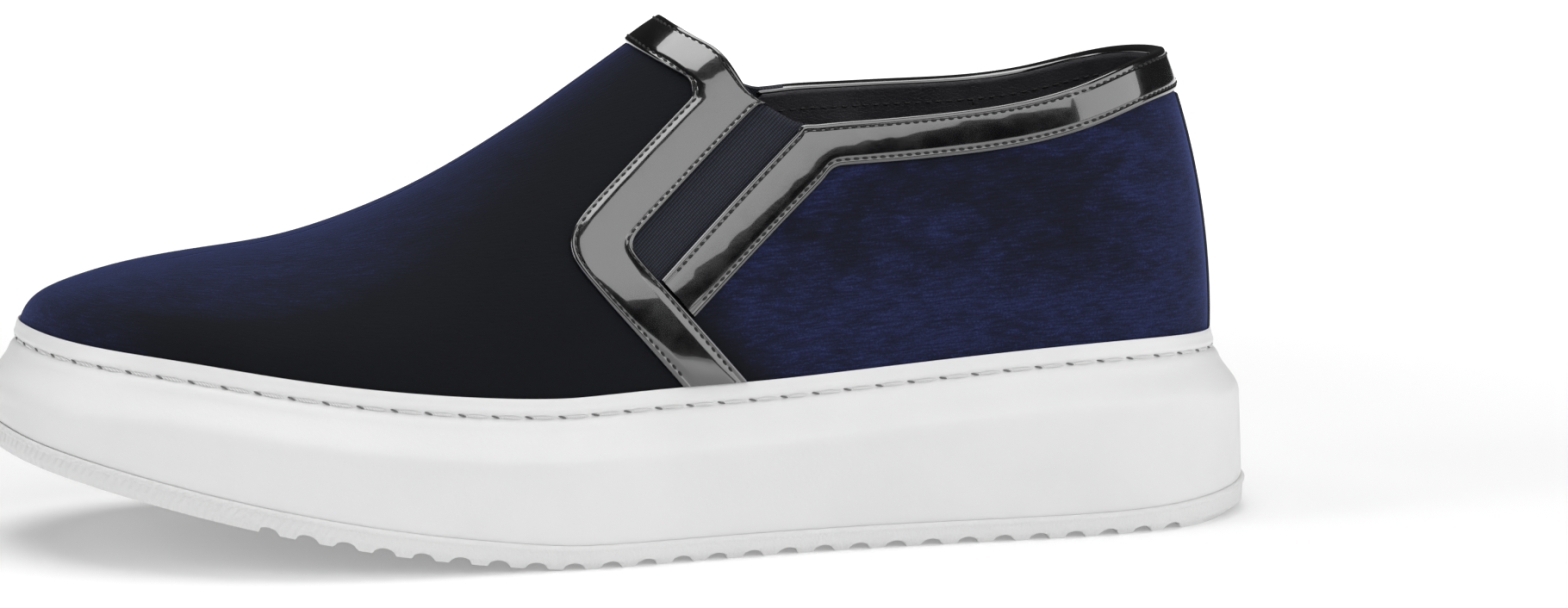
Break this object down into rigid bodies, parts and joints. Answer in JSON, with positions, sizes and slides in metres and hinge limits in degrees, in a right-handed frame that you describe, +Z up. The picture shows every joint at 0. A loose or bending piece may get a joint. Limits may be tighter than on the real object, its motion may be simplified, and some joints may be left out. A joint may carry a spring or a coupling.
{
  "type": "slip-on sneaker",
  "caption": "Left slip-on sneaker with a thick white cupsole, navy velvet upper, elastic side gores and black patent trims",
  "frame": {"origin": "middle of the sole's outline, on the ground plane that the heel and forefoot stand on", "axes": "+X from toe to heel, +Y to the inner (medial) side of this left shoe, +Z up"},
  "size_m": [0.2748, 0.1044, 0.1108],
  "materials": {
    "navy_velvet": "deep navy velvet with a short soft pile",
    "black_patent": "black patent leather, glossy, stitched along both edges",
    "navy_elastic": "dark navy elastic webbing with fine ribs",
    "black_leather": "smooth black leather, matte",
    "white_rubber": "white moulded rubber, satin",
    "tread_rubber": "off-white rubber, matte and faintly rough"
  },
  "bodies": {
    "root": {"upper": "navy_velvet", "front_trim": "black_patent", "collar_trim": "black_patent", "gore_lateral": "navy_elastic", "gore_medial": "navy_elastic", "insole": "black_leather", "midsole": "white_rubber", "outsole": "tread_rubber"}
  },
  "joints": []
}
